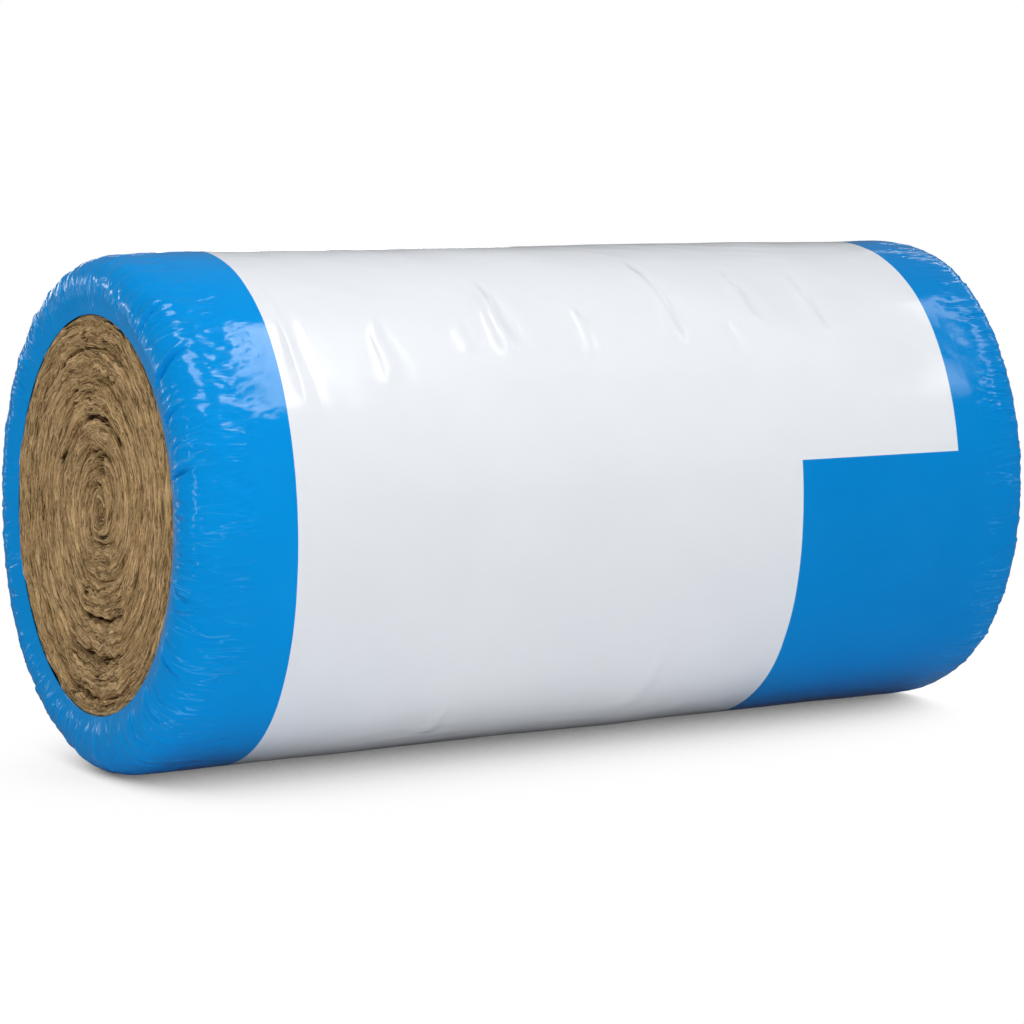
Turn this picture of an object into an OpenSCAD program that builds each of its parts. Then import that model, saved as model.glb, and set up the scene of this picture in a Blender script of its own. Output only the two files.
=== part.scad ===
// Insulation roll: a wound wool mat in a printed film sleeve, lying on its side.
// Millimetres. The roll's axis runs along X, Z is up, and the origin is on the floor under the middle.

/* [Roll] */
// Length over both ends
roll_l = 1200; // [600:10:1500]
// Diameter over the film
roll_d = 630; // [520:5:720]

/* [Mat] */
// Thickness of the mat as it lies wound, from one turn to the next
turn_pitch = 44; // [30:1:60]
// Width of the open seam between two turns
turn_gap = 3; // [2:0.5:6]
// Depth of the seam's straight sides
turn_side = 1.5; // [1:0.5:3]
// Height of a turn's rounded edge above those sides
turn_crown = 4.5; // [3:0.5:7]

/* [Film] */
// Wall of the film
film_t = 1; // [0.8:0.1:2]
// Clearance between the film and the mat
film_fit = 0.3; // [0.2:0.1:0.6]
// Outer radius of the film's shoulder at each end
shoulder_r = 52; // [35:1:75]
// Width of the flat ring between the shoulder and the lip
lip_flat = 7; // [4:0.5:30]
// Radius at which the lip turns in to the mat
lip_r = 10; // [8:0.5:16]

/* [Print] */
// Width of the coloured band at the left end
band_left = 138; // [80:1:240]
// Width of the coloured band at the right end
band_right = 117; // [80:1:240]

/* [Hidden] */
$fn = 180;

half_l = roll_l / 2;
roll_r = roll_d / 2;

// Centres of the two arcs that round each end, as radii from the axis
shoulder_c = roll_r - shoulder_r;
lip_c = shoulder_c - lip_flat;
window_r = lip_c - lip_r;

// The mat's face lies where the lip's edge comes down on it
face_x = half_l - lip_r;

// Each turn shows as a rounded ridge that is rooted in the mat's face
turn_w = turn_pitch - turn_gap;
turn_root = 4;
crown_r = (pow(turn_w / 2, 2) + pow(turn_crown, 2)) / (2 * turn_crown);

// The winding's half turns have two centres in turn, a half pitch apart
half_pitch = turn_pitch / 2;
wound_r = window_r - film_fit;
last_half_turn = floor((wound_r + turn_w / 2 + half_pitch / 2) / half_pitch);

// Lays what is built around Z along the roll's own axis
module along_axis() {
    translate([0, 0, roll_r])
        rotate([0, 90, 0])
            children();
}

// A rounded corner
module quarter_disc(r) {
    intersection() {
        circle(r);
        square(r);
    }
}

// One end of the roll's half section, drawn inside its outer surface: radius along X, length along Y
module end_section(inset) {
    square([roll_r - inset, half_l - shoulder_r]);
    square([lip_c, face_x]);
    translate([lip_c, 0])
        square([lip_flat, half_l - inset]);
    translate([shoulder_c, half_l - shoulder_r])
        quarter_disc(shoulder_r - inset);
    translate([lip_c, face_x])
        mirror([1, 0])
            quarter_disc(lip_r - inset);
}

// The whole half section, with both ends alike
module roll_section(inset) {
    end_section(inset);
    mirror([0, 1])
        end_section(inset);
}

// The film's wall between two places along the roll
module film_section(from_x, to_x) {
    intersection() {
        difference() {
            roll_section(0);
            roll_section(film_t);
        }
        translate([0, from_x])
            square([roll_r, to_x - from_x]);
    }
}

// Section of one turn's edge: straight sides under a rounded crown
module turn_section(mid_r) {
    inner_r = max(0, mid_r - turn_w / 2);
    intersection() {
        translate([inner_r, -turn_root])
            square([mid_r + turn_w / 2 - inner_r, turn_root + turn_side + turn_crown]);
        translate([mid_r, turn_side + turn_crown - crown_r])
            circle(crown_r);
    }
}

// The winding on one face: half turns that grow by half a pitch, from a closed heart to under the lip
module wound_face() {
    intersection() {
        for (i = [0 : last_half_turn]) {
            upper = i % 2 == 1;
            translate([upper ? -half_pitch / 2 : half_pitch / 2, 0, 0])
                rotate(upper ? 0 : 180)
                    rotate_extrude(angle = 180)
                        turn_section(i * half_pitch);
        }
        translate([0, 0, -turn_root])
            cylinder(r = wound_r, h = turn_root + turn_side + turn_crown);
    }
}

// The wound mat, which fills the film up to the lips
module wool_roll() {
    color("#8f7048")
        along_axis() {
            rotate_extrude()
                roll_section(film_t + film_fit);
            for (end = [0, 1])
                mirror([0, 0, end])
                    translate([0, 0, face_x])
                        wound_face();
        }
}

// The film sleeve: a pale middle between two coloured bands that turn in over the ends
module film_sleeve() {
    along_axis() {
        color("#1f94e0")
            rotate_extrude()
                film_section(-half_l, band_left - half_l);
        color("#eef0f4")
            rotate_extrude()
                film_section(band_left - half_l, half_l - band_right);
        color("#1f94e0")
            rotate_extrude()
                film_section(half_l - band_right, half_l);
    }
}

wool_roll();
film_sleeve();
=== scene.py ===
import math

import bpy
import numpy as np
from mathutils import Matrix, Vector


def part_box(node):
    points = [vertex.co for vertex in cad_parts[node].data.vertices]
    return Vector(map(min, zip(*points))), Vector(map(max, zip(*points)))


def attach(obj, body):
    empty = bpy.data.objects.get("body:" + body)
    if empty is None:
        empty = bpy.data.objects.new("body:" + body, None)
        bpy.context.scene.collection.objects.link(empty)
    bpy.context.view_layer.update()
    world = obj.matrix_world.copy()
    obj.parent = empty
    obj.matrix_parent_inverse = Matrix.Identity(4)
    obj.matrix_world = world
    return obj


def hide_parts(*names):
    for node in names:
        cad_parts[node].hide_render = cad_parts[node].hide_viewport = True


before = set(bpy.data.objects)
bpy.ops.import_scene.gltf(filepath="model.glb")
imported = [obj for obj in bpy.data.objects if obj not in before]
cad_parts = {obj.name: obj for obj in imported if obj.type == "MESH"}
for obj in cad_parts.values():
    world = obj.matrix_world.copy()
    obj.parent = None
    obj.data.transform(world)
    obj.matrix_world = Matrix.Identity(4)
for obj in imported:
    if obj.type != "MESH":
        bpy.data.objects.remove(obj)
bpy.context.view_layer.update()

TAU = 2 * math.pi
QUARTER = math.pi / 2

# Sizes of the roll, in metres, with the axis along X
FILM_LOW, FILM_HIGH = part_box("film_sleeve")
HALF_LENGTH = FILM_HIGH.x
RADIUS = (FILM_HIGH.z - FILM_LOW.z) / 2
AXIS_Z = (FILM_HIGH.z + FILM_LOW.z) / 2
FLOOR_Z = FILM_LOW.z

# The film's turned-in end: a round shoulder, then a ring that leans in to the window
SHOULDER = 0.052
RING = 0.017
WINDOW = RADIUS - SHOULDER - RING

# Runs are lengths along the film, from the left window's edge over both shoulders to the right one
SHOULDER_END = RING + SHOULDER * QUARTER
FILM_RUN = 2 * (SHOULDER_END + HALF_LENGTH - SHOULDER)
MID_RUN = RING + 0.6 * SHOULDER
END_RUN = SHOULDER_END + 0.026

# How the ends depart from a flat ring: the window's depth, the left end's lean and the window's flattening
DISH = 0.0095
LEFT_SLANT = 0.007
WINDOW_SAG = 0.0050

# The film's skin: how far it lies under the plain form, its edge's thickness and its depth behind folds
FILM_SINK = 0.0010
FILM_SKIN = 0.0012
FILM_HOLLOW = 0.0065

# The film's mesh: step along the roll and points round it, in the folded ends and on the barrel
FOLD_STEP = 0.0021
FOLD_COLUMNS = 1440
BARREL_STEP = 0.0075
BARREL_COLUMNS = 480
INNER_ROWS = 6

# The wound mat: its pitch, its heart's radius and place, and the rim and depth of its faces
PITCH = 0.044
HEART = 0.012
HEART_Y = -0.022
HEART_Z = 0.015
FACE_EDGE = WINDOW + 0.004
FACE_DEPTH = 0.0065

# The wool's mesh: step along the winding, points across the mat, and loose fibres with the points along each
WOOL_STEP = 0.0029
WOOL_COLUMNS = 40
FIBRES = 4200
FIBRE_STEPS = 4

# Print: colour borders along the roll, and how far each bows along the axis towards the top
LEFT_BAND = -0.4663
LEFT_BOW = 0.020
RIGHT_BAND = 0.476
RIGHT_BOW = 0.030
PANEL_LEFT = 0.231
PANEL_BOW = 0.040
PANEL_TOP = math.radians(8.7)
PANEL_BOTTOM = math.radians(-112)


# Numbers that repeat from run to run

def lattice(column, row, seed):
    """A random number from -1 to 1 for each whole-number point."""
    mixed = (column * 374761393 + row * 668265263 + seed * 974711) & 0xFFFFFFFF
    mixed = ((mixed ^ (mixed >> 13)) * 1274126177) & 0xFFFFFFFF
    mixed = mixed ^ (mixed >> 16)
    return mixed / 2147483647.5 - 1.0


def noise(u, v, seed, period=0):
    """Smooth gradient noise, about -1 to 1. With a period it repeats along u."""
    u, v = np.broadcast_arrays(u, v)
    column = np.floor(u).astype(np.int64)
    row = np.floor(v).astype(np.int64)
    part_u = u - column
    part_v = v - row
    ease_u = part_u * part_u * (3 - 2 * part_u)
    ease_v = part_v * part_v * (3 - 2 * part_v)
    total = np.zeros(u.shape)
    for step_u in (0, 1):
        for step_v in (0, 1):
            corner = column + step_u
            if period:
                corner = corner % period
            turn = math.pi * lattice(corner, row + step_v, seed)
            slope = np.cos(turn) * (part_u - step_u) + np.sin(turn) * (part_v - step_v)
            weight_u = ease_u if step_u else 1 - ease_u
            weight_v = ease_v if step_v else 1 - ease_v
            total += slope * weight_u * weight_v
    return total * 1.5


def smooth(low, high, value):
    """0 below low, 1 above high and a soft step between them."""
    part = np.clip((value - low) / (high - low), 0, 1)
    return part * part * (3 - 2 * part)


def folded(angle):
    """An angle brought between minus and plus half a turn."""
    return (angle + math.pi) % TAU - math.pi


# Meshes from arrays

def make_piece(name, points, faces, material, node):
    mesh = bpy.data.meshes.new(name)
    mesh.from_pydata(points.tolist(), [], faces.tolist())
    mesh.shade_smooth()
    mesh.materials.append(material)
    piece = bpy.data.objects.new(name, mesh)
    bpy.context.scene.collection.objects.link(piece)
    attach(piece, "root")
    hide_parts(node)
    return piece


def grid_faces(rows, columns, wraps):
    """Quads between the points of a grid that is stored row by row."""
    across = np.arange(columns if wraps else columns - 1)
    row = np.arange(rows - 1)[:, None] * columns
    here = row + across
    beside = row + (across + 1) % columns
    return np.stack([here, here + columns, beside + columns, beside], axis=-1).reshape(-1, 4)


# Film: shape

# Hoop-wise wrinkles, front and back: place along X, upper and lower angle, height and half width
WRINKLES = (
    (-0.153, 59, 37, 0.0030, 0.010),
    (-0.038, 51, 36, 0.0016, 0.008),
    (0.091, 67, 38, 0.0030, 0.011),
    (0.217, 62, 43, 0.0020, 0.009),
    (0.312, 60, 40, 0.0020, 0.009),
    (0.177, 46, 36, 0.0012, 0.007),
    (-0.318, 48, 31, 0.0010, 0.009),
    (-0.205, 47, 38, 0.0010, 0.007),
    (-0.434, 60, 27, 0.0008, 0.006),
    (-0.218, -50, -62, 0.0012, 0.009),
    (0.060, -34, -58, 0.0010, 0.012),
    (-0.340, 118, 146, 0.0022, 0.010),
    (-0.210, 124, 152, 0.0014, 0.008),
    (-0.050, 112, 139, 0.0026, 0.011),
    (0.085, 127, 158, 0.0018, 0.009),
    (0.240, 115, 148, 0.0024, 0.010),
    (0.360, 122, 141, 0.0016, 0.008),
)

# Deep creases beside the left window: angle, first and last run, depth, half width and lean
CREASES = (
    (53, 0.020, 0.085, 0.0045, 0.0030, 1.0),
    (37, 0.014, 0.092, 0.0065, 0.0034, 1.3),
    (27, 0.006, 0.060, 0.0055, 0.0030, 0.9),
    (14, 0.003, 0.066, 0.0065, 0.0032, 0.3),
    (5, 0.008, 0.050, 0.0040, 0.0028, -0.6),
    (-12, 0.010, 0.066, 0.0035, 0.0028, -1.0),
    (-31, 0.006, 0.070, 0.0045, 0.0028, -0.8),
    (-47, 0.004, 0.076, 0.0050, 0.0028, -0.5),
    (-60, 0.006, 0.070, 0.0045, 0.0028, 0.4),
)


def end_profile(run):
    """The film's radius, its depth in from the end and its outward normal, at a run from a window."""
    turn = np.clip((run - RING) / SHOULDER, 0, QUARTER)
    radius = WINDOW + np.clip(run, 0, RING) + SHOULDER * np.sin(turn)
    depth = SHOULDER * (1 - np.cos(turn)) + np.maximum(run - SHOULDER_END, 0)
    return radius, depth, np.sin(turn), -np.cos(turn)


def pleats(angle, run, seed, count, height, width, starts, lengths):
    """Sharp radial folds where the film is drawn in round a window, each over its own stretch of it."""
    draw = np.random.default_rng(seed)
    rise = np.zeros(np.broadcast(angle, run).shape)
    if np.min(run) > starts[1] + lengths[1]:
        return rise
    places = (np.arange(count) + draw.uniform(-0.5, 0.5, count)) * TAU / count
    for place in places:
        tall = height * draw.uniform(0.25, 1.0)
        half_width = width * draw.uniform(0.6, 1.5)
        start = draw.uniform(*starts)
        stop = start + draw.uniform(*lengths)
        lean = draw.normal(0, 0.9)
        across = folded(angle - place - lean * run) * RADIUS
        along = smooth(start, start + 0.3 * (stop - start), run)
        along = along * (1 - smooth(start + 0.5 * (stop - start), stop, run))
        rise += tall * along * np.exp(-np.abs(across / half_width) ** 1.2)
    return rise


def crumple(angle, run, seed, cells, length, shear):
    """Creased facets that run out from a window and lean: two noises, folded where they cancel."""
    u = angle / TAU * cells
    v = run / length
    bend = 0.6 * noise(u / 4, v * 0.6, seed + 1, cells // 4)
    u = u + shear * v + bend
    first = noise(u, v + bend, seed, cells)
    second = noise(u * 1.5 + 0.37, v * 1.3 + 0.71, seed + 2, cells * 3 // 2)
    return 0.45 - np.abs(first + 0.8 * second)


def crease_rise(angle, run):
    """Valleys that the window's edge has drawn into the film, each with a swollen upper side."""
    rise = 0
    for place, start, stop, depth, half_width, lean in CREASES:
        across = (folded(angle - math.radians(place) - lean * run) * RADIUS) / half_width
        fading = smooth(start + 0.45 * (stop - start), stop, run)
        along = smooth(start, start + 0.012, run) * (1 - fading)
        valley = np.exp(-np.abs(across) ** 1.2) - 0.45 * np.exp(-(across - 2.2) ** 2)
        rise = rise - depth * along * valley
    return rise


def wrinkle_rise(angle, x):
    """Ridges round the roll, each with a shallow valley beside it, that widen downwards."""
    rise = 0
    angle = folded(angle)
    for place, top, low, height, half_width in WRINKLES:
        top_angle = math.radians(top)
        low_angle = math.radians(low)
        part = (top_angle - angle) / (top_angle - low_angle)
        along = smooth(-0.15, 0.35, part) * (1 - smooth(0.85, 1.1, part))
        wander = 0.006 * noise(part * 2.1, np.full_like(part, place * 37), 91)
        spread = half_width * (0.6 + 0.9 * np.clip(part, 0, 1))
        across = (x - place - wander) / spread
        rise = rise + height * along * (np.exp(-across ** 2) - 0.45 * np.exp(-(across - 1.6) ** 2))
    return rise


def shoulder_puff(angle, right):
    """How far the wool pushes the right shoulder out along the axis, most at the top and at the floor."""
    part = np.clip((right - 0.4 * RING) / (SHOULDER_END - 0.4 * RING), 0, 1)
    return (0.007 + 0.025 * np.sin(angle) ** 2) * np.sin(math.pi * part ** 2.2) ** 2


def left_puff(angle, left):
    """How far the wool swells the left end's shoulder, most at the back."""
    part = np.clip((left - 0.3 * RING) / (SHOULDER_END - 0.3 * RING), 0, 1)
    return 0.0025 * (1 - np.cos(angle)) * np.sin(math.pi * part) ** 2


def top_droop(angle, left):
    """The left end's top falls away early, where the roll has sagged."""
    return 0.0035 * np.clip(np.sin(angle), 0, 1) ** 3 * np.exp(-((left - 0.088) / 0.042) ** 2)


def end_pleats(angle, end, seed, slack):
    """The pleats of one end: fine ones, broad ones and sharp valleys."""
    fine = pleats(angle, end, seed, 150, 0.0010, 0.0019, (0.000, 0.040), (0.035, 0.085))
    broad = pleats(angle, end, seed + 1, 40, 0.0013, 0.0060, (0.010, 0.040), (0.060, 0.120))
    valleys = pleats(angle, end, seed + 2, 44, 0.0024, 0.0023, (0.002, 0.020), (0.030, 0.065))
    return slack * fine + broad - valleys


def gathers(angle, run, edge, at_front):
    """Crumpled facets, coarse to fine, where the film is drawn in over the shoulders."""
    on_right = run > FILM_RUN / 2
    smooth_from = SHOULDER_END - np.where(on_right, 0.015, 0.010)
    smooth_to = SHOULDER_END + np.where(on_right, 0.045, 0.090)
    gathered = smooth(0.002, 0.030, edge) * (1 - smooth(smooth_from, smooth_to, edge))
    patchy = 0.3 + 0.7 * smooth(-0.3, 0.4, noise(angle / TAU * 22, run / 0.05, 23, 22))
    coarse = 0.0012 * crumple(angle, run, 21, 64, 0.070, 0.7)
    middling = (0.0009 + 0.0004 * at_front) * crumple(angle, run, 24, 152, 0.055, -0.9)
    fine = (0.0003 + 0.0003 * at_front) * crumple(angle, run, 27, 360, 0.040, 0.8)
    return gathered * (coarse + patchy * (middling + fine))


def film_rise(angle, run):
    """How far the film stands off its plain form."""
    x = run - FILM_RUN / 2
    left = run
    right = FILM_RUN - run
    edge = np.minimum(left, right)
    at_front = smooth(0.2, 0.75, np.cos(angle))
    slack = 0.35 + 0.65 * (1 - at_front)
    rise = 0.0012 * noise(angle / TAU * 9, x * 5.5, 11, 9)
    rise = rise + 0.0005 * noise(angle / TAU * 26, x * 13, 12, 26)
    rise = rise + 1.35 * wrinkle_rise(angle, x)
    rise = rise + end_pleats(angle, left, 100, slack) + end_pleats(angle, right, 200, slack)
    rise = rise + pleats(angle, right, 205, 110, 0.0015, 0.0016, (0.030, 0.062), (0.036, 0.066))
    rise = rise + crease_rise(angle, left) + gathers(angle, run, edge, at_front)
    rise = rise + 0.0003 * crumple(angle, run, 31, 40, 0.110, 0.3)
    edge_hold = 0.15 + 0.85 * smooth(0.0, 0.014, edge)
    settled = 0.0014 * np.exp(-(folded(angle + QUARTER) / 0.2) ** 2)
    return rise * edge_hold - FILM_SINK + settled + left_puff(angle, left) - top_droop(angle, left)


def slant_at(side, height):
    """How far an end lies in at a height over the axis, in radii: the left end leans back."""
    return LEFT_SLANT * height * (side < 0)


def film_points(angle, run, rise):
    """The film's points at angles round the roll, from the front over the top, and at runs."""
    left = run < FILM_RUN / 2
    side = np.where(left, -1.0, 1.0)
    edge = np.where(left, run, FILM_RUN - run)
    radius, depth, out_radius, out_depth = end_profile(edge)
    leaning = (1 - np.clip(edge / (RING + 0.060), 0, 1)) ** 2
    moving = 1 - smooth(SHOULDER_END - 0.02, SHOULDER_END + 0.12, edge)
    depth = depth + DISH * leaning + moving * slant_at(side, np.sin(angle))
    depth = depth - shoulder_puff(angle, FILM_RUN - run)
    radius = radius + out_radius * rise - WINDOW_SAG * leaning * np.sin(angle) ** 2
    x = side * (HALF_LENGTH - depth - out_depth * rise)
    y = -radius * np.cos(angle)
    z = AXIS_Z + radius * np.sin(angle)
    x, y, z = np.broadcast_arrays(x, y, z)
    return np.stack([x, y, np.maximum(z, FLOOR_Z)], axis=-1)


def folded_film(angle, run):
    return film_points(angle, run, film_rise(angle, run))


def film_normals(angle, run):
    """Outward normals of the film, from small steps each way, so that pieces meet with no seam."""
    step_angle = 0.0015
    step_run = 0.0006
    round_way = folded_film(angle + step_angle, run) - folded_film(angle - step_angle, run)
    along_way = folded_film(angle, run + step_run) - folded_film(angle, run - step_run)
    normal = np.cross(along_way, round_way)
    return normal / np.linalg.norm(normal, axis=-1, keepdims=True)


def straightened(row):
    """A row of the folded mesh, laid on the straight edges of the barrel's coarser row."""
    spans = row.reshape(BARREL_COLUMNS, -1, 3)
    ahead = np.roll(spans[:, 0], -1, axis=0)
    share = np.arange(spans.shape[1])[None, :, None] / spans.shape[1]
    return (spans[:, :1] * (1 - share) + ahead[:, None] * share).reshape(row.shape)


def film_piece(name, first, last, row_step, columns, material, seam_row=None):
    """One closed length of the film. Its outer face has the folds, and its inner face is plain."""
    rows = int(round((last - first) / row_step)) + 1
    angle = np.arange(columns)[None, :] * TAU / columns
    run = np.linspace(first, last, rows)[:, None]
    outer = folded_film(angle, run)
    if seam_row is not None:
        outer[seam_row] = straightened(outer[seam_row])
    inner_run = np.linspace(last, first, INNER_ROWS)[:, None]
    inner_edge = np.minimum(inner_run, FILM_RUN - inner_run)
    inner_rise = -FILM_SINK - FILM_SKIN - FILM_HOLLOW * smooth(0.0, 0.02, inner_edge)
    inner = film_points(angle, inner_run, np.repeat(inner_rise, columns, axis=1))
    points = np.concatenate([outer, inner]).reshape(-1, 3)
    around = np.arange(columns)
    ahead = (around + 1) % columns
    last_row = (rows + INNER_ROWS - 1) * columns
    closing = np.stack([last_row + around, around, ahead, last_row + ahead], axis=-1)
    faces = np.concatenate([grid_faces(rows + INNER_ROWS, columns, True), closing])
    piece = make_piece(name, points, faces, material, "film_sleeve")
    normals = np.zeros_like(points)
    normals[: rows * columns] = film_normals(angle, run).reshape(-1, 3)
    piece.data.normals_split_custom_set_from_vertices(normals.tolist())
    return piece


# Wool: shape

def turn_inner(wind):
    """The inner radius of the mat at a wound angle. The first turn closes on the heart."""
    first = HEART * np.clip(wind / TAU, 0, 1) ** 2
    return np.where(wind < TAU, first, HEART + PITCH * (wind / TAU - 1))


def turn_outer(wind):
    return HEART + PITCH * wind / TAU


WIND_END = (FACE_EDGE - HEART) / PITCH * TAU + TAU


def arc_table():
    """Wound angles and the arc length along the middle of the mat to each."""
    wind = np.linspace(0, WIND_END, 40000)
    middle = (np.minimum(turn_outer(wind), FACE_EDGE) + turn_inner(wind)) / 2
    length = np.concatenate([[0], np.cumsum(np.diff(wind) * np.maximum(middle[1:], 0.008))])
    return wind, length


ARC_WIND, ARC_LENGTH = arc_table()


def wound_steps(step):
    """Wound angles about one step of arc apart, and the arc length to each."""
    even = np.linspace(0, ARC_LENGTH[-1], int(ARC_LENGTH[-1] / step))
    return np.interp(even, ARC_LENGTH, ARC_WIND), even


def crushed(wind):
    """1 over and under the heart, where the roll's weight has crumpled the layers, and 0 at the sides."""
    return smooth(0.70, 0.96, np.abs(np.sin(wind)))


def wool_place(wind, radius, seed):
    """Places on the end's plane, with the turns pushed about as the soft mat was wound."""
    off_heart = 1 - radius / FACE_EDGE
    y = -radius * np.cos(wind) + HEART_Y * off_heart
    z = radius * np.sin(wind) + HEART_Z * off_heart
    hold = 1 - smooth(0.86 * FACE_EDGE, FACE_EDGE, radius)
    push_y = 0.0055 * noise(y * 11, z * 11, seed) + 0.0022 * noise(y * 31, z * 31, seed + 1)
    push_z = 0.0055 * noise(y * 11, z * 11, seed + 2) + 0.0022 * noise(y * 31, z * 31, seed + 3)
    ripple = 0.0046 * noise(y * 62, radius * 20, seed + 4)
    ripple = (ripple + 0.0022 * noise(y * 140, radius * 45, seed + 5)) * crushed(wind)
    y = y + hold * (push_y - ripple * np.cos(wind))
    z = z + hold * (push_z + ripple * np.sin(wind))
    return y, z


def wool_layers(wind, radius, arc, y, z, seed):
    """The felted layers of the mat: streaks along the winding, tufts and the splits between them."""
    across = radius - turn_inner(wind)
    layers = 0.0018 * noise(arc * 10, across * 150, seed + 11)
    layers = layers + 0.0011 * noise(arc * 20, across * 330, seed + 12)
    layers = layers + 0.0006 * noise(arc * 45, across * 560, seed + 13)
    split_line = 1 - np.abs(noise(arc * 11, across * 95, seed + 14)) * 3
    open_here = smooth(-0.1, 0.5, noise(arc * 14, across * 60, seed + 15))
    split = 0.0060 * smooth(0.62, 1.0, split_line) * open_here * (0.7 + 0.3 * crushed(wind))
    tufts = 0.0012 * noise(y * 60, z * 60, seed + 16) + 0.0006 * noise(y * 170, z * 170, seed + 17)
    return layers + tufts - split


def heart_notch(side, y, z):
    """The open V over the left end's heart, where the first turn leaves it."""
    part = (0.092 - z) / 0.042
    half_width = 0.020 * np.clip(part, 0, 1)
    inside = smooth(0.0, 0.006, half_width - np.abs(y - 0.8 * HEART_Y))
    return 0.012 * inside * (1 - smooth(0.85, 1.15, part)) * (side < 0)


def wool_rise(side, wind, radius, arc, y, z, seed):
    """How far the wool stands out from the plane of its end."""
    across = radius - turn_inner(wind)
    thick = turn_outer(wind) - turn_inner(wind)
    edge = np.minimum(across, thick - across)
    crown = 0.0030 * (1 - np.abs(2 * across / thick - 1) ** 3)
    open_here = smooth(-0.45, 0.25, noise(y * 9, z * 9, seed + 10)) * (0.5 + 0.5 * crushed(wind))
    crack = (0.005 + 0.010 * open_here) * np.exp(-(edge / (0.0012 + 0.0012 * open_here)) ** 2)
    felt = smooth(0.0, 0.0035, edge) * wool_layers(wind, radius, arc, y, z, seed)
    from_middle = np.hypot(y, z)
    swell = 0.0035 * smooth(0.55 * WINDOW, 0.92 * WINDOW, from_middle)
    tuck = 0.0085 * smooth(WINDOW - 0.010, WINDOW + 0.002, from_middle)
    return crown - crack + felt - heart_notch(side, y, z) + swell - tuck


def wool_x(side, z, rise):
    """Where the wool of one end stands along the axis, at a height over it."""
    return side * (HALF_LENGTH - FACE_DEPTH - DISH - slant_at(side, z / WINDOW) + rise)


def wool_end(name, side, seed, material):
    """The wound face in one window: a strip of mesh that follows the mat from the heart outwards."""
    wind, arc = wound_steps(WOOL_STEP)
    inner = np.minimum(turn_inner(wind), FACE_EDGE)
    outer = np.minimum(turn_outer(wind), FACE_EDGE)
    share = np.linspace(0, 1, WOOL_COLUMNS)[None, :]
    radius = inner[:, None] + (outer - inner)[:, None] * share
    turn = np.broadcast_to(wind[:, None], radius.shape)
    y, z = wool_place(turn, radius, seed)
    rise = wool_rise(side, turn, radius, arc[:, None], y, z, seed)
    felt = wool_layers(turn, radius, arc[:, None], y, z, seed)
    points = np.stack([wool_x(side, z, rise), y, AXIS_Z + z], axis=-1).reshape(-1, 3)
    faces = grid_faces(len(wind), WOOL_COLUMNS, False)
    if side < 0:
        faces = faces[:, ::-1]
    piece = make_piece(name, points, faces, material, "wool_roll")
    along = np.broadcast_to(arc[:, None], radius.shape)
    across = radius - turn_inner(turn)
    chart = np.stack([along, across], axis=-1).reshape(-1, 2)
    chart_winding(piece, chart, faces)
    # The lift is low in cracks and in the recess at the window's edge, where the wool's material paints
    # shade
    set_lift(piece, smooth(-0.0050, 0.0035, felt) * smooth(-0.010, 0.001, rise))
    return piece


def chart_winding(piece, chart, faces):
    """A map of the wool along the winding and across the mat, in metres, for its streaks."""
    layer = piece.data.uv_layers.new(name="winding")
    layer.uv.foreach_set("vector", chart[faces.ravel()].astype(np.float32).ravel())


def set_lift(piece, lift):
    """How far each point stands out of the felt, from 0 in the cracks to 1 on loose fibres."""
    values = piece.data.attributes.new("lift", "FLOAT", "POINT")
    values.data.foreach_set("value", lift.astype(np.float32).ravel())


def wool_fibres(name, side, seed, material):
    """Loose bundles of fibre along the winding, each a thin three-sided strand with pointed ends."""
    draw = np.random.default_rng(seed + 50)
    start = WIND_END * np.sqrt(draw.uniform(0.004, 1, FIBRES))[:, None]
    share = draw.uniform(0.03, 0.97, FIBRES)[:, None]
    length = draw.uniform(0.014, 0.060, FIBRES)[:, None]
    thick = draw.uniform(0.00025, 0.0006, FIBRES)[:, None]
    lean = draw.normal(0, 0.07, FIBRES)[:, None]
    sink = draw.uniform(-0.0006, 0.0006, FIBRES)[:, None]
    inner = np.minimum(turn_inner(start), FACE_EDGE)
    outer = np.minimum(turn_outer(start), FACE_EDGE)
    first_radius = inner + (outer - inner) * share
    along = np.linspace(0, 1, FIBRE_STEPS)[None, :]
    wind = start + along * (length / np.maximum(first_radius, 0.012))
    radius = first_radius + PITCH * (wind - start) / TAU
    radius = radius + lean * length * (along - 0.5)
    radius = np.clip(radius, 0.002, WINDOW - 0.008)
    arc = np.interp(wind, ARC_WIND, ARC_LENGTH)
    y, z = wool_place(wind, radius, seed)
    rise = wool_rise(side, wind, radius, arc, y, z, seed) + sink
    rise = rise + 0.0012 * np.abs(noise(along * 1.7 + start * 7, start * 3, seed + 60))
    taper = thick * np.sin(math.pi * (0.08 + 0.84 * along))
    corners = []
    for turn in (0, TAU / 3, 2 * TAU / 3):
        out = taper * math.cos(turn)
        aside = taper * 1.4 * math.sin(turn)
        corner_y = y - aside * np.cos(wind)
        corner_z = AXIS_Z + z + aside * np.sin(wind)
        corners.append(np.stack([wool_x(side, z, rise + out), corner_y, corner_z], axis=-1))
    points = np.stack(corners, axis=2).reshape(-1, 3)
    quads = grid_faces(FIBRE_STEPS, 3, True)
    quads = quads if side > 0 else quads[:, ::-1]
    firsts = np.arange(FIBRES) * FIBRE_STEPS * 3
    faces = (quads[None] + firsts[:, None, None]).reshape(-1, 4)
    piece = make_piece(name, points, faces, material, "wool_roll")
    apart = draw.uniform(0, 1, FIBRES)[:, None]
    chart = np.stack([arc, radius - turn_inner(wind) + apart], axis=-1)
    chart_winding(piece, np.repeat(chart.reshape(-1, 2), 3, axis=0), faces)
    lift = draw.uniform(0.45, 1.0, FIBRES)
    set_lift(piece, np.repeat(lift, FIBRE_STEPS * 3))
    return piece


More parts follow.
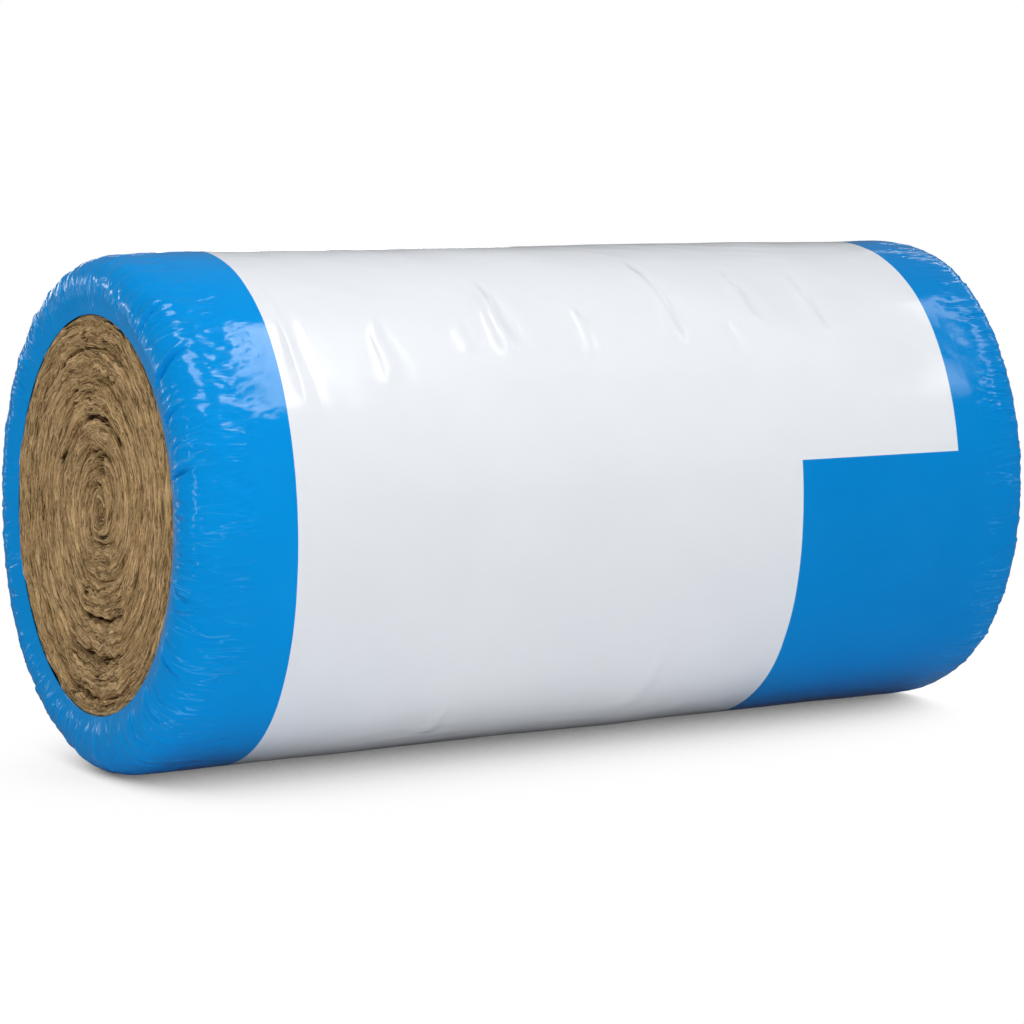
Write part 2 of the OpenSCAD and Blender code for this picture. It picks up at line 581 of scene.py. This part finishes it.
def wool_core(material):
    """The body of the mat behind both faces, under the film. It has no lift, so its wool is painted the dark
    shade colour, which shows as shade in the slit at the window's edge.
    """
    columns = 96
    inset = 0.012
    depth = 0.048
    run = np.array([0.05, 0.07, 0.09, 0.13])
    radius, end_depth, out_radius, out_depth = end_profile(run)
    radius = np.concatenate([[0.0001, 0.12, WINDOW], radius - out_radius * inset])
    end_depth = np.concatenate([[depth] * 3, np.maximum(end_depth, depth)])
    radius = np.concatenate([radius, radius[::-1]])
    x = np.concatenate([end_depth - HALF_LENGTH, (HALF_LENGTH - end_depth)[::-1]])
    angle = np.arange(columns)[None, :] * TAU / columns
    y = -radius[:, None] * np.cos(angle)
    z = AXIS_Z + radius[:, None] * np.sin(angle)
    points = np.stack(np.broadcast_arrays(x[:, None], y, z), axis=-1).reshape(-1, 3)
    faces = grid_faces(len(radius), columns, True)
    return make_piece("wool_core", points, faces, material, "wool_roll")


# Shader nodes

class Nodes:
    """Short calls for wiring a material's nodes."""

    def __init__(self, tree):
        self.tree = tree
        tree.nodes.clear()

    def add(self, kind, **settings):
        node = self.tree.nodes.new(kind)
        for name, value in settings.items():
            setattr(node, name, value)
        return node

    def plug(self, value, socket):
        if isinstance(value, bpy.types.NodeSocket):
            self.tree.links.new(value, socket)
        else:
            socket.default_value = value

    def math(self, operation, *values):
        node = self.add("ShaderNodeMath", operation=operation)
        for value, socket in zip(values, node.inputs):
            self.plug(value, socket)
        return node.outputs[0]

    def noise(self, vector, scale, detail=3.0, roughness=0.55, distortion=0.0):
        node = self.add("ShaderNodeTexNoise")
        self.plug(vector, node.inputs["Vector"])
        node.inputs["Scale"].default_value = scale
        node.inputs["Detail"].default_value = detail
        node.inputs["Roughness"].default_value = roughness
        node.inputs["Distortion"].default_value = distortion
        return node.outputs["Fac"]

    def ramp(self, value, low, high, out_low, out_high):
        node = self.add("ShaderNodeMapRange")
        for given, socket in zip((value, low, high, out_low, out_high), node.inputs):
            self.plug(given, socket)
        return node.outputs["Result"]

    def mix(self, share, first, second):
        node = self.add("ShaderNodeMix", data_type="RGBA")
        self.plug(share, node.inputs["Factor"])
        self.plug(first, node.inputs[6])
        self.plug(second, node.inputs[7])
        return node.outputs[2]

    def stretch(self, vector, scale):
        node = self.add("ShaderNodeMapping")
        self.plug(vector, node.inputs["Vector"])
        node.inputs["Scale"].default_value = scale
        return node.outputs["Vector"]

    def bump(self, height, strength, distance, under=None):
        node = self.add("ShaderNodeBump")
        self.plug(height, node.inputs["Height"])
        node.inputs["Strength"].default_value = strength
        node.inputs["Distance"].default_value = distance
        if under:
            self.plug(under, node.inputs["Normal"])
        return node.outputs["Normal"]


def new_material(name):
    material = bpy.data.materials.new(name)
    material.use_nodes = True
    nodes = Nodes(material.node_tree)
    shader = nodes.add("ShaderNodeBsdfPrincipled")
    output = nodes.add("ShaderNodeOutputMaterial")
    nodes.plug(shader.outputs["BSDF"], output.inputs["Surface"])
    return material, nodes, shader


def linear(red, green, blue):
    """A shader colour from the 0 to 255 values that it shows as."""
    parts = [value / 255 for value in (red, green, blue)]
    return tuple(p / 12.92 if p <= 0.04045 else ((p + 0.055) / 1.055) ** 2.4 for p in parts) + (1.0,)


# Colours of the film and the wool; a pair is mixed in soft clouds
NEAR_BLUE = linear(0, 141, 218), linear(0, 151, 231)
FAR_BLUE = linear(0, 130, 205), linear(0, 139, 216)
# A pale blue for painted highlight: streaks that stand in for glints on the film's folds
PAINTED_GLINT_BLUE = linear(110, 190, 244)
FILM_WHITE = linear(230, 233, 238), linear(237, 239, 243)
WOOL_DARK = linear(110, 81, 40), linear(124, 93, 50)
WOOL_LIGHT = linear(219, 182, 129), linear(230, 197, 148)
# A dark brown for painted shade in the thin seams between the felt's layers
WOOL_SEAM_SHADE = linear(72, 51, 26)
# A dark brown for painted shade in the wool's cracks and recesses, and over the hidden core
WOOL_PAINTED_SHADE = linear(66, 47, 24)


def painted_glint_streaks(nodes, x, y, height):
    """The share of painted highlight: pale, drawn-out streaks painted into the film in place of glints,
    which run out from each window.
    """
    squares = nodes.math("MULTIPLY_ADD", height, height, nodes.math("MULTIPLY", y, y))
    radius = nodes.math("MAXIMUM", nodes.math("SQRT", squares), 0.001)
    from_window = nodes.math("SUBTRACT", radius, nodes.math("ABSOLUTE", x))
    from_window = nodes.math("ADD", from_window, HALF_LENGTH - WINDOW)
    around = nodes.add("ShaderNodeCombineXYZ")
    nodes.plug(nodes.math("DIVIDE", y, radius), around.inputs[0])
    nodes.plug(nodes.math("DIVIDE", height, radius), around.inputs[1])
    nodes.plug(from_window, around.inputs[2])
    lines = nodes.noise(nodes.stretch(around.outputs[0], (26.0, 26.0, 9.0)), 1.0, 2.0, 0.5, 0.2)
    patches = nodes.noise(nodes.stretch(around.outputs[0], (5.0, 5.0, 16.0)), 1.0, 2.0)
    off_line = nodes.math("ABSOLUTE", nodes.math("SUBTRACT", lines, 0.5))
    share = nodes.ramp(off_line, 0.0, 0.016, 0.55, 0.0)
    share = nodes.math("MULTIPLY", share, nodes.ramp(patches, 0.48, 0.68, 0.0, 1.0))
    return nodes.math("MULTIPLY", share, nodes.ramp(from_window, 0.09, 0.16, 1.0, 0.0))


def film_material():
    """Glossy film: white, with blue bands at both ends and a blue panel low on the front."""
    material, nodes, shader = new_material("printed_film")
    place = nodes.add("ShaderNodeTexCoord").outputs["Object"]
    parts = nodes.add("ShaderNodeSeparateXYZ")
    nodes.plug(place, parts.inputs[0])
    x, y, z = parts.outputs
    height = nodes.math("SUBTRACT", z, AXIS_Z)
    front = nodes.math("MULTIPLY", y, -1.0)
    angle = nodes.math("ARCTAN2", height, front)
    squared = nodes.math("MULTIPLY", height, height)
    bow = nodes.math("DIVIDE", squared, RADIUS ** 2)
    left_edge = nodes.math("MULTIPLY_ADD", bow, LEFT_BOW, LEFT_BAND)
    right_edge = nodes.math("MULTIPLY_ADD", bow, RIGHT_BOW, RIGHT_BAND)
    panel_edge = nodes.math("MULTIPLY_ADD", bow, PANEL_BOW, PANEL_LEFT)
    left = nodes.math("LESS_THAN", x, left_edge)
    right = nodes.math("GREATER_THAN", x, right_edge)
    panel = nodes.math("GREATER_THAN", x, panel_edge)
    panel = nodes.math("MULTIPLY", panel, nodes.math("LESS_THAN", angle, PANEL_TOP))
    panel = nodes.math("MULTIPLY", panel, nodes.math("GREATER_THAN", angle, PANEL_BOTTOM))
    inked = nodes.math("MAXIMUM", nodes.math("MAXIMUM", left, right), panel)
    cloud = nodes.noise(place, 7.0, 3.0)
    blue = nodes.mix(left, nodes.mix(cloud, *FAR_BLUE), nodes.mix(cloud, *NEAR_BLUE))
    # Painted highlight: pale streaks round the windows, in place of glints on the folds
    blue = nodes.mix(painted_glint_streaks(nodes, x, y, height), blue, PAINTED_GLINT_BLUE)
    white = nodes.mix(cloud, *FILM_WHITE)
    nodes.plug(nodes.mix(inked, white, blue), shader.inputs["Base Color"])
    haze = nodes.noise(place, 18.0, 4.0)
    nodes.plug(nodes.ramp(haze, 0.3, 0.7, 0.07, 0.14), shader.inputs["Roughness"])
    shader.inputs["Specular IOR Level"].default_value = 0.2
    streaks = nodes.noise(nodes.stretch(place, (60.0, 9.0, 9.0)), 1.0, 4.0)
    fine = nodes.noise(place, 45.0, 5.0, 0.6, 0.4)
    soft = nodes.bump(streaks, 0.25, 0.0006)
    nodes.plug(nodes.bump(fine, 0.15, 0.0006, soft), shader.inputs["Normal"])
    return material


def wool_material():
    """Matted brown mineral wool, with its layers along the winding, lighter where it stands out and with
    painted shade in its cracks, seams and recesses.
    """
    material, nodes, shader = new_material("mineral_wool")
    place = nodes.add("ShaderNodeTexCoord").outputs["Object"]
    chart = nodes.add("ShaderNodeUVMap", uv_map="winding").outputs["UV"]
    layers = nodes.noise(nodes.stretch(chart, (13.0, 280.0, 1.0)), 1.0, 5.0, 0.6, 0.3)
    hairs = nodes.noise(nodes.stretch(chart, (48.0, 1100.0, 1.0)), 1.0, 3.0, 0.6)
    patches = nodes.noise(place, 9.0, 3.0)
    grains = nodes.noise(place, 260.0, 2.0)
    lift = nodes.add("ShaderNodeAttribute", attribute_name="lift").outputs["Fac"]
    # The felt is lighter on its raised streaks, grains and lift and darker between them: partly the fibres'
    # own tone, partly painted shade that follows the bump and the relief
    share = nodes.math("MULTIPLY_ADD", layers, 0.65, nodes.math("MULTIPLY", hairs, 0.40))
    share = nodes.math("MULTIPLY_ADD", grains, 0.2, share)
    share = nodes.math("MULTIPLY_ADD", lift, 0.35, share)
    share = nodes.ramp(share, 0.64, 1.00, 0.0, 1.0)
    felt = nodes.mix(share, nodes.mix(patches, *WOOL_DARK), nodes.mix(patches, *WOOL_LIGHT))
    # Thin seams along the winding, pressed in by the bump and darkened: painted shade in the grooves
    wander = nodes.noise(nodes.stretch(chart, (9.0, 150.0, 1.0)), 1.0, 4.0, 0.55, 0.4)
    off_seam = nodes.math("ABSOLUTE", nodes.math("SUBTRACT", wander, 0.5))
    seam = nodes.ramp(off_seam, 0.0, 0.026, 0.75, 0.0)
    felt = nodes.mix(seam, felt, WOOL_SEAM_SHADE)
    # Painted shade: where the lift is low, in cracks and in the recess by the window's edge, the wool turns
    # to the dark shade colour; the core has no lift and is that colour all over
    inside = nodes.ramp(lift, 0.05, 0.38, 0.0, 1.0)
    nodes.plug(nodes.mix(inside, WOOL_PAINTED_SHADE, felt), shader.inputs["Base Color"])
    shader.inputs["Roughness"].default_value = 0.95
    shader.inputs["Specular IOR Level"].default_value = 0.15
    rough = nodes.bump(nodes.math("SUBTRACT", layers, seam), 0.8, 0.0024)
    rough = nodes.bump(hairs, 0.6, 0.0010, rough)
    nodes.plug(nodes.bump(grains, 0.5, 0.0010, rough), shader.inputs["Normal"])
    return material


# Studio: camera, floor, world and lights

CAMERA_AT = Vector((-1.9223, -3.3434, 0.6718))
CAMERA_YAW = 0.5201
CAMERA_PITCH = -0.0999
CAMERA_ROLL = -0.0091
FOCAL_PIXELS = 2984.4
IMAGE_PIXELS = 1024
SENSOR = 36.0

# How much of the white backdrop and floor is taken away where gloss mirrors them, low down and overhead
MIRRORED_DIMMING = 0.88
OVERHEAD_DIMMING = 0.86

# The floor: its half width, the way to the light, the shade's reach and how open an unshaded place is
FLOOR_REACH = 60.0
LIGHTWARD = (0.33, 0.0, 0.94)
SHADE_REACH = 3.0
OPEN_SHARE = 0.65


def placed(at, right, up, back):
    """A matrix for something at a place, with its own axes along three directions."""
    return Matrix.Translation(at) @ Matrix((right, up, back)).transposed().to_4x4()


def add_camera():
    ahead = Vector((
        math.sin(CAMERA_YAW) * math.cos(CAMERA_PITCH),
        math.cos(CAMERA_YAW) * math.cos(CAMERA_PITCH),
        math.sin(CAMERA_PITCH),
    ))
    level = Vector((math.cos(CAMERA_YAW), -math.sin(CAMERA_YAW), 0.0))
    right = math.cos(CAMERA_ROLL) * level + math.sin(CAMERA_ROLL) * level.cross(ahead)
    up = right.cross(ahead)
    data = bpy.data.cameras.new("camera")
    data.sensor_width = SENSOR
    data.lens = FOCAL_PIXELS * SENSOR / IMAGE_PIXELS
    data.clip_end = 200.0
    camera = bpy.data.objects.new("camera", data)
    camera.matrix_world = placed(CAMERA_AT, right, up, -ahead)
    bpy.context.scene.collection.objects.link(camera)
    bpy.context.scene.camera = camera


def seen_share(nodes):
    """1 for rays that show the background, and 1 for those of them that come by gloss or glass."""
    path = nodes.add("ShaderNodeLightPath")
    mirrored = nodes.math("MAXIMUM", path.outputs["Is Glossy Ray"], path.outputs["Is Transmission Ray"])
    return nodes.math("MAXIMUM", path.outputs["Is Camera Ray"], mirrored), mirrored


def add_world():
    """A white backdrop, which is dim where gloss mirrors it, and an even fill for everything else."""
    world = bpy.data.worlds.new("studio")
    world.use_nodes = True
    bpy.context.scene.world = world
    nodes = Nodes(world.node_tree)
    parts = nodes.add("ShaderNodeSeparateXYZ")
    nodes.plug(nodes.add("ShaderNodeTexCoord").outputs["Generated"], parts.inputs[0])
    up = parts.outputs[2]
    seen, mirrored = seen_share(nodes)
    dimming = nodes.math("MULTIPLY", mirrored, nodes.ramp(up, 0.0, 0.30, MIRRORED_DIMMING, OVERHEAD_DIMMING))
    backdrop = nodes.add("ShaderNodeBackground")
    nodes.plug(nodes.math("SUBTRACT", 1.0, dimming), backdrop.inputs["Strength"])
    backdrop.inputs["Color"].default_value = (1.0, 1.0, 1.0, 1.0)
    fill = nodes.add("ShaderNodeBackground")
    fill.inputs["Color"].default_value = (0.97, 0.985, 1.0, 1.0)
    nodes.plug(nodes.ramp(up, 0.1, 1.0, 0.52, 0.34), fill.inputs["Strength"])
    blend = nodes.add("ShaderNodeMixShader")
    output = nodes.add("ShaderNodeOutputWorld")
    nodes.plug(seen, blend.inputs[0])
    nodes.plug(fill.outputs[0], blend.inputs[1])
    nodes.plug(backdrop.outputs[0], blend.inputs[2])
    nodes.plug(blend.outputs[0], output.inputs["Surface"])


def add_floor():
    """A white floor that keeps the shadow: it darkens where the roll hides the sky on the light's side."""
    signs = ((-1, -1), (1, -1), (1, 1), (-1, 1))
    corners = [(FLOOR_REACH * x, FLOOR_REACH * y, FLOOR_Z) for x, y in signs]
    mesh = bpy.data.meshes.new("floor")
    mesh.from_pydata(corners, [], [(0, 1, 2, 3)])
    material = bpy.data.materials.new("floor")
    material.use_nodes = True
    nodes = Nodes(material.node_tree)
    paint = nodes.add("ShaderNodeBsdfDiffuse")
    paint.inputs["Color"].default_value = (0.98, 0.98, 0.98, 1.0)
    lightward = nodes.add("ShaderNodeCombineXYZ")
    for part, socket in zip(LIGHTWARD, lightward.inputs):
        socket.default_value = part
    open_sky = nodes.add("ShaderNodeAmbientOcclusion", samples=16)
    open_sky.inputs["Distance"].default_value = SHADE_REACH
    nodes.plug(lightward.outputs[0], open_sky.inputs["Normal"])
    white = nodes.add("ShaderNodeEmission")
    white.inputs["Color"].default_value = (1.0, 1.0, 1.0, 1.0)
    seen, mirrored = seen_share(nodes)
    hidden = nodes.ramp(open_sky.outputs["AO"], 0.0, OPEN_SHARE, 1.0, 0.0)
    shade = nodes.math("MULTIPLY_ADD", nodes.math("POWER", hidden, 2.2), -0.96, 1.0)
    level = nodes.math("MULTIPLY_ADD", mirrored, -MIRRORED_DIMMING, 1.0)
    nodes.plug(nodes.math("MULTIPLY", shade, level), white.inputs["Strength"])
    blend = nodes.add("ShaderNodeMixShader")
    nodes.plug(seen, blend.inputs[0])
    nodes.plug(paint.outputs[0], blend.inputs[1])
    nodes.plug(white.outputs[0], blend.inputs[2])
    output = nodes.add("ShaderNodeOutputMaterial")
    nodes.plug(blend.outputs[0], output.inputs["Surface"])
    mesh.materials.append(material)
    floor = bpy.data.objects.new("floor", mesh)
    bpy.context.scene.collection.objects.link(floor)


def add_softbox(name, start, end, width, radiance, target, mirrored=True, lights=True):
    """A flat lamp along a middle line from start to end, of an even brightness, turned to a target."""
    start = Vector(start)
    end = Vector(end)
    middle = (start + end) / 2
    along = (end - start).normalized()
    away = middle - Vector(target)
    away = (away - along * away.dot(along)).normalized()
    data = bpy.data.lights.new(name, "AREA")
    data.shape = "RECTANGLE"
    data.size = width
    data.size_y = (end - start).length
    data.energy = radiance * math.pi * data.size * data.size_y
    lamp = bpy.data.objects.new(name, data)
    lamp.visible_glossy = mirrored
    lamp.visible_diffuse = lights
    lamp.matrix_world = placed(middle, along.cross(away), along, away)
    bpy.context.scene.collection.objects.link(lamp)


def add_strip(name, start, end, width, radiance, target, lights=True):
    """A lamp for gloss that fades towards its ends and sides: three softboxes, one inside the other."""
    middle = (Vector(start) + Vector(end)) / 2
    for layer, share in enumerate((1.0, 0.84, 0.68)):
        first = middle.lerp(Vector(start), share)
        last = middle.lerp(Vector(end), share)
        layer_name = f"{name}_{layer}"
        add_softbox(layer_name, first, last, width * share, radiance / 2.5, target, lights=lights)


def add_lights():
    """Broad panels that light the roll, and strips, posts and rails that its gloss mirrors."""
    axis = (0.0, 0.0, AXIS_Z)
    near = (-0.4, -0.2, 0.5)
    far = (0.5, -0.2, 0.5)
    left = (-0.6, -0.2, 0.5)
    left_low = (-0.6, -0.2, 0.4)
    behind = (-0.6, 0.2, 0.4)
    add_softbox("key_panel", (-2.3, -1.6, 2.3), (0.5, -1.6, 2.3), 1.20, 0.60, axis, mirrored=False)
    add_strip("near_strip", (0.735, -2.10, 2.4), (0.36, -0.12, 2.4), 0.18, 17.0, near)
    add_strip("near_glint", (0.735, -2.00, 2.4), (0.38, -0.24, 2.4), 0.17, 10.0, near, lights=False)
    add_strip("near_glow", (0.94, -2.10, 2.4), (0.56, -0.12, 2.4), 0.24, 1.6, near, lights=False)
    add_strip("far_strip", (2.90, -2.65, 2.4), (2.00, -0.02, 2.4), 0.26, 9.0, far)
    add_softbox("left_strip", (-1.05, -1.75, 2.4), (-1.05, -0.10, 2.4), 0.26, 8.5, left)
    add_softbox("left_glow", (-0.80, -1.75, 2.4), (-0.80, -0.10, 2.4), 0.24, 9.0, left, lights=False)
    add_softbox("left_post", (-3.2, -0.75, 0.25), (-3.2, -0.75, 1.7), 0.22, 6.0, left_low, lights=False)
    add_softbox("far_rail", (2.9, -0.4, 1.9), (2.3, 1.9, 1.9), 0.14, 3.0, far, lights=False)
    add_softbox("front_panel", (-4.3, -2.6, 0.56), (-1.6, -4.2, 0.56), 1.10, 2.62, axis, mirrored=False)
    add_softbox("back_panel", (2.2, 2.4, 1.9), (-1.6, 2.4, 1.9), 1.20, 0.50, axis, mirrored=False)
    add_softbox("back_strip", (-2.4, 2.8, 0.9), (1.6, 2.8, 0.9), 0.12, 4.5, behind)
    add_softbox("back_post", (-1.9, 2.6, 0.1), (-1.9, 2.6, 1.6), 0.12, 4.0, behind)


def build():
    film = film_material()
    wool = wool_material()
    right_mid = FILM_RUN - MID_RUN
    right_start = FILM_RUN - END_RUN
    fold_mesh = (FOLD_STEP, FOLD_COLUMNS, film)
    film_piece("film_barrel", END_RUN, right_start, BARREL_STEP, BARREL_COLUMNS, film)
    film_piece("film_shoulder_left", MID_RUN, END_RUN, *fold_mesh, seam_row=-1)
    film_piece("film_shoulder_right", right_start, right_mid, *fold_mesh, seam_row=0)
    film_piece("film_rim_left", 0.0, MID_RUN, *fold_mesh)
    film_piece("film_rim_right", right_mid, FILM_RUN, *fold_mesh)
    wool_core(wool)
    wool_end("wool_end_left", -1, 300, wool)
    wool_end("wool_end_right", 1, 400, wool)
    wool_fibres("wool_fibres_left", -1, 300, wool)
    wool_fibres("wool_fibres_right", 1, 400, wool)


add_camera()
add_world()
add_floor()
add_lights()
build()
bpy.context.scene.view_settings.view_transform = "Standard"
